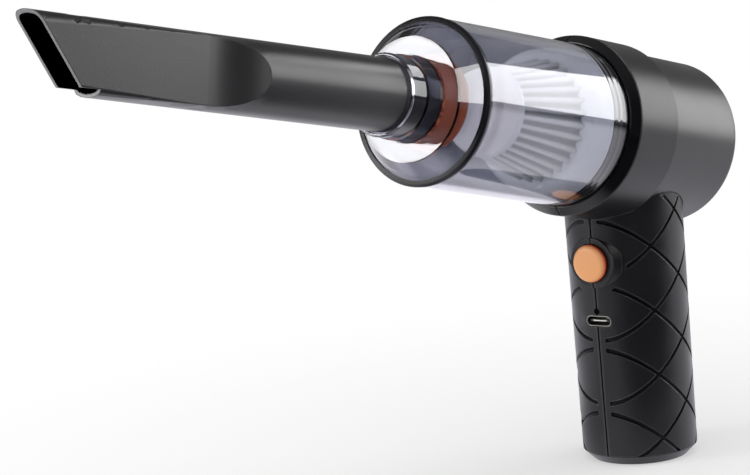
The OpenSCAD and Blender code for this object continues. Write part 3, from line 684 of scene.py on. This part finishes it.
# %% The circuit board
def solder_mask(name):
    material = new_material(name)
    tree = material.node_tree
    place = own_place(tree)
    weave = node(tree, "ShaderNodeTexChecker", in_Scale=1600.0)
    tracks = node(tree, "ShaderNodeTexBrick", in_Scale=260.0, in_Mortar_Size=0.035)
    upright = node(tree, "ShaderNodeMapping", in_Rotation=(0, math.pi / 2, 0))
    join(tree,
         place, weave.inputs["Vector"],
         place, upright.inputs[0],
         upright.outputs[0], tracks.inputs["Vector"])
    cloth = blend(tree, weave.outputs["Fac"], (0.018, 0.135, 0.055, 1), (0.024, 0.165, 0.07, 1))
    lines = blend(tree, tracks.outputs["Fac"], cloth, (0.07, 0.30, 0.12, 1))
    gloss = ranged(tree, tracks.outputs["Fac"], 0.0, 1.0, 0.28, 0.20)
    lay_on(tree, lines, gloss, tracks.outputs["Fac"], 0.4, 0.00004)
    return material


finish["board"] = solder_mask("solder_mask")
print("finishes", len(finish))

# %% [markdown]
# The housing halves are satin, but the sloping ring that frames the cup is polished in
# the mould. The two finishes meet at a fixed place along the barrel, so the stretch ahead
# of it is a mask, and the mask blends a second colour and gloss into the first.

# %% A second finish where a mask is 1
BLACK = (0.0, 0.0, 0.0)
RING_FROM = 26.9
RING_FULL = 27.0


def skin_of(material):
    """The inputs of a material's main shader."""
    shaders = (n for n in material.node_tree.nodes if n.bl_idname == "ShaderNodeBsdfPrincipled")
    return next(shaders).inputs


def source(socket):
    """What feeds an input: the socket it is linked to, or else its own value."""
    return socket.links[0].from_socket if socket.links else socket.default_value


def second_finish_or_painted_light(material, mask, colour, rough, unlit=False):
    """Gives a material another colour and gloss where the mask is 1: a second finish, or painted
    light or shade. Unlit takes its shine.
    """
    tree = material.node_tree
    skin = skin_of(material)
    join(tree,
         blend(tree, mask, source(skin["Base Color"]), (*colour, 1)), skin["Base Color"],
         blend(tree, mask, source(skin["Roughness"]), rough, "FLOAT"), skin["Roughness"])
    if unlit:
        join(tree, calc(tree, "MAXIMUM", mask, source(skin["Metallic"])), skin["Metallic"])


halves = finish["charcoal_grip"]
tree = halves.node_tree
ring_mask = along_barrel(tree, forward_of(tree), RING_FROM, RING_FULL)
second_finish_or_painted_light(halves, ring_mask, (0.003, 0.003, 0.004), 0.10)
print("housing ring polished from", RING_FULL, "mm ahead of the crossing")

# %% [markdown]
# The two halves meet in a fine seam down the middle, painted black as a dark joint. The
# small hole of the charge light lies in it, and round the light the halves get painted
# shade, black. Both are masks again: the distance from the middle plane, and the distance
# from the light's own axis. Beside the seam a narrow strip is painted a little paler: a
# painted highlight where the seam's edges would catch the light.

# %% The seam and the hole of the charge light
low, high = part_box("charge_light")
light_height = (low[2] + high[2]) / 2
GRIP_FRONT = -10 * MM
HIGHLIGHT_STRIP_TOP = 74 * MM


def combined(tree, **parts):
    """A vector from some of its parts. The others are 0."""
    n = node(tree, "ShaderNodeCombineXYZ")
    give(tree, [n.inputs[key] for key in parts], parts.values())
    return n.outputs[0]


x, y, z = xyz(tree, own_place(tree))
in_front = calc(tree, "LESS_THAN", x, GRIP_FRONT)
off_middle = calc(tree, "ABSOLUTE", y)
# Painted highlight: a paler strip on each side of the seam.
strip = ranged(tree, off_middle, 1.1 * MM, 0.5 * MM, smooth=True)
strip = product(tree, strip, calc(tree, "LESS_THAN", z, HIGHLIGHT_STRIP_TOP), in_front)
second_finish_or_painted_light(halves, strip, (0.030, 0.030, 0.034), 0.30)
seam = ranged(tree, off_middle, 0.24 * MM, 0.16 * MM)
from_light = vector(tree, "DISTANCE", combined(tree, Y=y, Z=z), (0, 0, light_height))
# Painted shade: black round the charge light.
painted_hole_shade = product(tree, ranged(tree, from_light, 1.04 * MM, 0.92 * MM), in_front)
second_finish_or_painted_light(halves, calc(tree, "MAXIMUM", seam, painted_hole_shade), BLACK, 0.8, unlit=True)
print("charge light", round(light_height, 4), "high")

# %% [markdown]
# The floors of the lattice grooves get painted shade, near black, as hardly any light
# reaches them. A point lies in a groove where its distance from the upright axis falls
# short of the tapered surface of the grip. Further in are the walls of the battery's
# space, which stay as they are, and so does everything within the barrel's radius.

# %% The floor of the grooves
GROOVE_SHADE = 0.6
GRIP_LOW, GRIP_HIGH = 3 * MM, 80 * MM
GRIP_LOW_R, GRIP_HIGH_R = 17.45 * MM, 17.9 * MM
HOUSING_R = 26.7 * MM


def barrel_spoke(tree):
    """The way to a place from the nearest point of the barrel's axis, as a vector."""
    place = vector(tree, "SUBTRACT", own_place(tree), CROSSING)
    return vector(tree, "SUBTRACT", place, vector(tree, "PROJECT", place, FORWARD))


surface = ranged(tree, z, GRIP_LOW, GRIP_HIGH, GRIP_LOW_R, GRIP_HIGH_R)
depth = calc(tree, "SUBTRACT", surface, vector(tree, "LENGTH", combined(tree, X=x, Y=y)))
painted_groove_shade = ranged(tree, depth, 0.25 * MM, 0.65 * MM, 0.0, GROOVE_SHADE, smooth=True)
not_inside = ranged(tree, depth, 0.80 * MM, 0.90 * MM, 1.0, 0.0)
from_barrel = vector(tree, "LENGTH", barrel_spoke(tree))
off_barrel = ranged(tree, from_barrel, HOUSING_R, HOUSING_R + 0.2 * MM)
# Painted shade on the groove floors.
second_finish_or_painted_light(halves, product(tree, painted_groove_shade, not_inside, off_barrel), (0.002, 0.002, 0.002), 0.5, unlit=True)
print("groove floor darkened by", GROOVE_SHADE)

# %% [markdown]
# The button's face keeps its orange, while the foot of its side, in the collar's shadow,
# gets painted shade. A ramp along the button's own axis, which is X, takes it from orange
# through a deep red to a dark one.

# %% The foot of the button
orange = finish["orange_plastic"]
tree = orange.node_tree
# Painted shade: darker towards the foot of the button.
shade_ramp = node(tree, "ShaderNodeValToRGB")
stops = shade_ramp.color_ramp.elements
stops[0].color = (1, 1, 1, 1)
stops[1].position = 0.9
stops[1].color = (0.05, 0.01, 0.03, 1)
stops.new(0.45).color = (0.75, 0.22, 0.16, 1)
skin = skin_of(orange)
join(tree,
     ranged(tree, xyz(tree, own_place(tree))["X"], -20.4 * MM, -18.6 * MM), shade_ramp.inputs[0],
     blend(tree, 1.0, source(skin["Base Color"]), shade_ramp.outputs[0], way="MULTIPLY"),
     skin["Base Color"])
print("button ramp stops", [round(e.position, 2) for e in stops])

# %% [markdown]
# The inside of the crevice tool is rough and gets painted shade: it is painted black, as
# little light reaches in. A surface faces the tool's axis where its normal points back along
# the line from the axis. The slanted rim of the mouth does so too, but it looks forward as
# well, so a second test on the normal leaves it out.

# %% The inside of the tool
tool = finish["tool_plastic"]
tree = tool.node_tree
normals = node(tree, "ShaderNodeNewGeometry").outputs
facing = vector(tree, "DOT_PRODUCT", barrel_spoke(tree), normals["Normal"])
inward = ranged(tree, facing, -1.4 * MM, -2.0 * MM)
ahead = vector(tree, "DOT_PRODUCT", normals["Normal"], FORWARD)
wall = ranged(tree, calc(tree, "ABSOLUTE", ahead), 0.5, 0.4)
# Painted shade: the bore is painted black.
second_finish_or_painted_light(tool, product(tree, inward, wall), BLACK, 0.9, unlit=True)
print("tool bore blackened")

# %% [markdown]
# The slanted rim of the mouth gets a painted highlight, so it is paler than the rest. It
# is found by its normal too, which leans forward but not to either side, as the end of the
# flat does.

# %% The rim of the mouth
sideways = calc(tree, "ABSOLUTE", xyz(tree, normals["Normal"])["Y"])
rim = product(tree, ranged(tree, ahead, 0.40, 0.50), ranged(tree, sideways, 0.30, 0.20))
# Painted highlight on the rim of the mouth.
second_finish_or_painted_light(tool, rim, (0.19, 0.19, 0.195), 0.36)
print("rim pale")

# %% [markdown]
# Long thin triangles along the edge of the flat have smooth normals that swing away from
# their faces and leave dark notches in the shine. Where the smooth normal strays from the
# face's true one, the true one is taken.

# %% The edge of the flat
skin = skin_of(tool)
match = vector(tree, "DOT_PRODUCT", normals["Normal"], normals["True Normal"])
steady = ranged(tree, match, 0.991, 0.996)
steadied = blend(tree, steady, normals["True Normal"], source(skin["Normal"]), "VECTOR")
join(tree, steadied, skin["Normal"])
print("flat's edge steadied")

# %% [markdown]
# Every node of the frame gets the finish of its slot, apart from a few that need their
# own, such as the plated can of the motor.

# %% Dress the solids
own = {"motor_can": "motor_steel", "cup_catch": "catch_plastic", "charge_light": "dark_lens",
       "base_cap": "shaded_foot_plastic", "usb_shell": "socket_steel"}
slot_of = {row["node"]: row["material_slot"] for row in frame["record"]["subparts"]}
for name, solid in frame["nodes"].items():
    for s in solid.material_slots:
        s.material = finish[own.get(name, slot_of[name])]
print("dressed", len(slot_of))

# %% [markdown]
# The filter is one strip of fleece, folded into pleats and closed into a cone. The solid
# has flat sided pleats with knife edges. Real folds are soft: the crest is round, the
# valley is round, and no two folds lie quite alike. A circle of edges is pushed in and
# out to make the folds, then extruded forward and drawn in, as the strip is on its cone.

# %% How far a node reaches along the barrel
BARREL_BACK = BARREL.inverted()


def reach(name):
    """Rear end, front end and largest radius of a node about the barrel, in millimetres."""
    spots = [BARREL_BACK @ v.co for v in frame["nodes"][name].data.vertices]
    return (min(p.z for p in spots) / MM, max(p.z for p in spots) / MM,
            max(math.hypot(p.x, p.y) for p in spots) / MM)


paper_rear, paper_front, paper_r = reach("filter_media")
cap_r = reach("filter_cap")[2]
print("paper", round(paper_rear, 2), round(paper_front, 2), round(paper_r, 2))


# %% A new piece
def piece(name, bm, material, body, place=None, smooth=True):
    """Makes the bmesh an object with its place in its mesh, and lets it ride on a body."""
    if place is not None:
        bmesh.ops.transform(bm, matrix=place, verts=bm.verts)
    mesh = bpy.data.meshes.new(name)
    bm.to_mesh(mesh)
    bm.free()
    for face in mesh.polygons:
        face.use_smooth = smooth
    mesh.materials.append(material)
    ob = bpy.data.objects.new(name, mesh)
    bpy.context.scene.collection.objects.link(ob)
    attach(ob, body)
    print(name, len(mesh.vertices), "vertices")
    return ob


# %% The pleated paper
PLEATS = 30
FOLD = (0.0, 0.16, 0.60, 0.94, 1.0, 0.94, 0.60, 0.16)
FOLD_DEPTH = 1.8
CREST_INSIDE = 0.15
TUCKED_IN = 0.3
CAP_OVERHANG = 0.4
STAGES = 4

bm = bmesh.new()
fold = bm.verts.layers.float.new("fold")
ring = bmesh.ops.create_circle(bm, segments=PLEATS * len(FOLD), radius=1.0)["verts"]
ring.sort(key=lambda v: math.atan2(v.co.y, v.co.x) % (2 * math.pi))
for step, depth in enumerate(FOLD):
    r = (paper_r - CREST_INSIDE - depth * FOLD_DEPTH) * MM
    line = ring[step::len(FOLD)]
    bmesh.ops.scale(bm, vec=(r, r, r), verts=line)
    for v in line:
        v[fold] = depth
bmesh.ops.translate(bm, vec=(0, 0, (paper_rear - TUCKED_IN) * MM), verts=ring)
edges = bm.edges[:]
narrowing = (1 - (cap_r - CAP_OVERHANG) / paper_r) / STAGES
stage_length = (paper_front - paper_rear + 2 * TUCKED_IN) / STAGES * MM
for stage in range(1, STAGES + 1):
    moved = bmesh.ops.extrude_edge_only(bm, edges=edges)["geom"]
    edges = [g for g in moved if isinstance(g, bmesh.types.BMEdge)]
    loop = [g for g in moved if isinstance(g, bmesh.types.BMVert)]
    closer = (1 - narrowing * stage) / (1 - narrowing * (stage - 1))
    bmesh.ops.scale(bm, vec=(closer, closer, 1), verts=loop)
    bmesh.ops.translate(bm, vec=(0, 0, stage_length), verts=loop)
    for v in loop:
        turn = math.atan2(v.co.y, v.co.x)
        sway = 0.002 * math.sin(turn * 7 + stage * 1.9) + 0.001 * math.sin(turn * 13 + stage)
        bmesh.ops.rotate(bm, cent=(0, 0, 0), matrix=Matrix.Rotation(sway, 3, "Z"), verts=[v])
bmesh.ops.recalc_face_normals(bm, faces=bm.faces)
outward = sum(f.normal.xy.dot(f.calc_center_median().xy) for f in bm.faces)
if outward < 0:
    bmesh.ops.reverse_faces(bm, faces=bm.faces)
paper = piece("pleated_paper", bm, finish["filter_paper"], "filter", BARREL)
thick = paper.modifiers.new("solidify", "SOLIDIFY")
thick.thickness = 0.0004
thick.offset = -1.0
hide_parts("filter_media")

# %% [markdown]
# The button is a soft cap. The solid has a plain chamfer round its face. The real one is
# slightly crowned, and its edge rolls over in one wide round. It is a turned shape, so
# half of its outline is spun about its axis, and the ends on the axis are merged.

# %% The soft button
def turned(corners):
    """Spins an outline of (radius, station) corners, in millimetres, about local Z."""
    bm = bmesh.new()
    spots = [bm.verts.new((r * MM, 0, z * MM)) for r, z in corners]
    line = [bm.edges.new(pair) for pair in zip(spots, spots[1:])]
    bmesh.ops.spin(bm, geom=spots + line, cent=(0, 0, 0), axis=(0, 0, 1), dvec=(0, 0, 0),
                   angle=2 * math.pi, steps=72, use_merge=True)
    bmesh.ops.remove_doubles(bm, verts=bm.verts, dist=0.00001)
    bmesh.ops.recalc_face_normals(bm, faces=bm.faces)
    return bm


low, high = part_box("power_button")
button_height = (low[2] + high[2]) / 2
FACE, BACK = -low[0] / MM, -high[0] / MM
CAP_R = 5.7
ROUND = 1.5
CROWN = 0.12
SIDE_FROM = 1.75
FLANGE_R = CAP_R + 1.1
FLANGE_THICK = 0.85

crown = [(0, FACE), (1.6, FACE - 0.01), (3.1, FACE - 0.05), (CAP_R - ROUND, FACE - CROWN)]
roll = [(CAP_R - ROUND + ROUND * math.sin(a), FACE - CROWN - ROUND + ROUND * math.cos(a))
        for a in (math.radians(12 * n) for n in range(1, 8))]
side = [(CAP_R, FACE - SIDE_FROM), (CAP_R, BACK + FLANGE_THICK + 0.05)]
flange = [(FLANGE_R, BACK + FLANGE_THICK), (FLANGE_R, BACK), (0, BACK)]
to_front = Matrix.Translation((0, 0, button_height)) @ Matrix.Rotation(-math.pi / 2, 4, "Y")
button = piece("soft_button", turned(crown + roll + side + flange), finish["orange_plastic"],
               "button", to_front)
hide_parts("power_button")

# %% [markdown]
# The tongue of the charging socket has a steel plate in its middle, which shows as a
# bright bar at its front edge, and a row of contacts on each face. Both are small, so the
# plate is one bevelled bar, and each contact is a bevelled copy of a single strip.

# %% The plate and the contacts of the socket
low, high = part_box("usb_tongue")
TIP, MIDDLE = low[0] / MM, (low[2] + high[2]) / 2 / MM
PLATE = (0.5, 5.0, 0.54)
PLATE_AT = TIP + 0.16
CONTACT = (2.6, 0.25, 0.05)
CONTACT_AT = TIP + 2.0
CONTACTS = 12
PITCH = 0.5
FACE_OFF = 0.36


def bar(bm, size, centre, soften):
    """A bevelled bar, added to the bmesh. Sizes and places are in millimetres."""
    made = bmesh.ops.create_cube(bm, size=MM)["verts"]
    bmesh.ops.scale(bm, vec=size, verts=made)
    bmesh.ops.translate(bm, vec=Vector(centre) * MM, verts=made)
    edges = list({e for v in made for e in v.link_edges})
    bmesh.ops.bevel(bm, geom=edges, offset=soften * MM, segments=2, profile=0.5,
                    affect="EDGES", material=-1)


bm = bmesh.new()
bar(bm, PLATE, (PLATE_AT, 0, MIDDLE), 0.12)
for n in range(CONTACTS):
    across = (n - (CONTACTS - 1) / 2) * PITCH
    for off in (-FACE_OFF, FACE_OFF):
        bar(bm, CONTACT, (CONTACT_AT, across, MIDDLE + off), 0.02)
contacts = piece("socket_contacts", bm, finish["contact_steel"], "housing", smooth=False)
